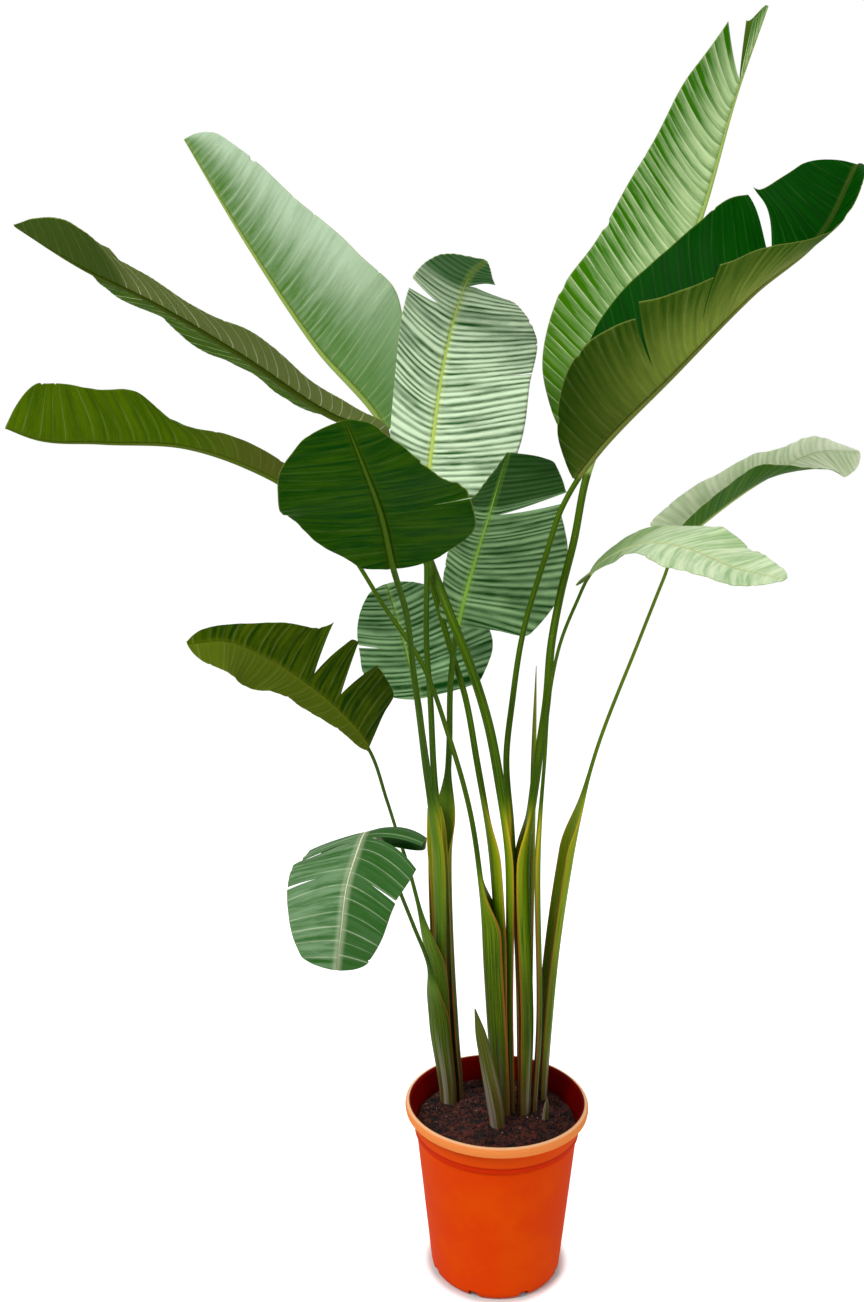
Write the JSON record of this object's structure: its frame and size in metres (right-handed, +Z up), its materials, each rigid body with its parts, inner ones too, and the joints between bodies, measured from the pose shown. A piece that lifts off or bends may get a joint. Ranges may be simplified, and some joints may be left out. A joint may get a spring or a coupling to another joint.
{
  "type": "potted giant bird of paradise plant",
  "caption": "Tall leafy bird of paradise plant with long stalks and broad torn leaves, rooted in soil in a round orange nursery pot.",
  "frame": {"origin": "centre of the pot's flat underside", "axes": "+Z up along the plant; -Y is the side the lowest leaf hangs toward; +X is to that viewer's right"},
  "size_m": [0.995, 0.6058, 1.6015],
  "materials": {
    "pot plastic": "satin orange plastic",
    "soil": "crumbly dark peat and bark",
    "leaf green": "waxy mid green leaf",
    "leaf pale": "waxy leaf with pale sheen",
    "leaf dark": "waxy dark green leaf",
    "stalk": "smooth green stalk",
    "young growth": "smooth young shoot"
  },
  "bodies": {
    "root": {"pot": "pot plastic", "potting_soil": "soil", "blade_left_long": "leaf green", "stalk_left_long": "stalk", "blade_left_level": "leaf green", "stalk_left_level": "stalk", "blade_left_broad": "leaf pale", "stalk_left_broad": "stalk", "blade_centre_upright": "leaf pale", "stalk_centre_upright": "stalk", "blade_front_dark": "leaf dark", "stalk_front_dark": "stalk", "blade_centre_right": "leaf dark", "stalk_centre_right": "stalk", "blade_centre_low": "leaf dark", "stalk_centre_low": "stalk", "blade_right_tall": "leaf green", "stalk_right_tall": "stalk", "blade_right_folded": "leaf dark", "stalk_right_folded": "stalk", "blade_right_arching": "leaf pale", "stalk_right_arching": "stalk", "blade_far_right": "leaf pale", "stalk_far_right": "stalk", "blade_lower_left": "leaf green", "stalk_lower_left": "stalk", "blade_lowest": "leaf pale", "stalk_lowest": "stalk", "spear": "young growth", "young_shoot": "young growth", "small_bud": "young growth"}
  },
  "joints": []
}
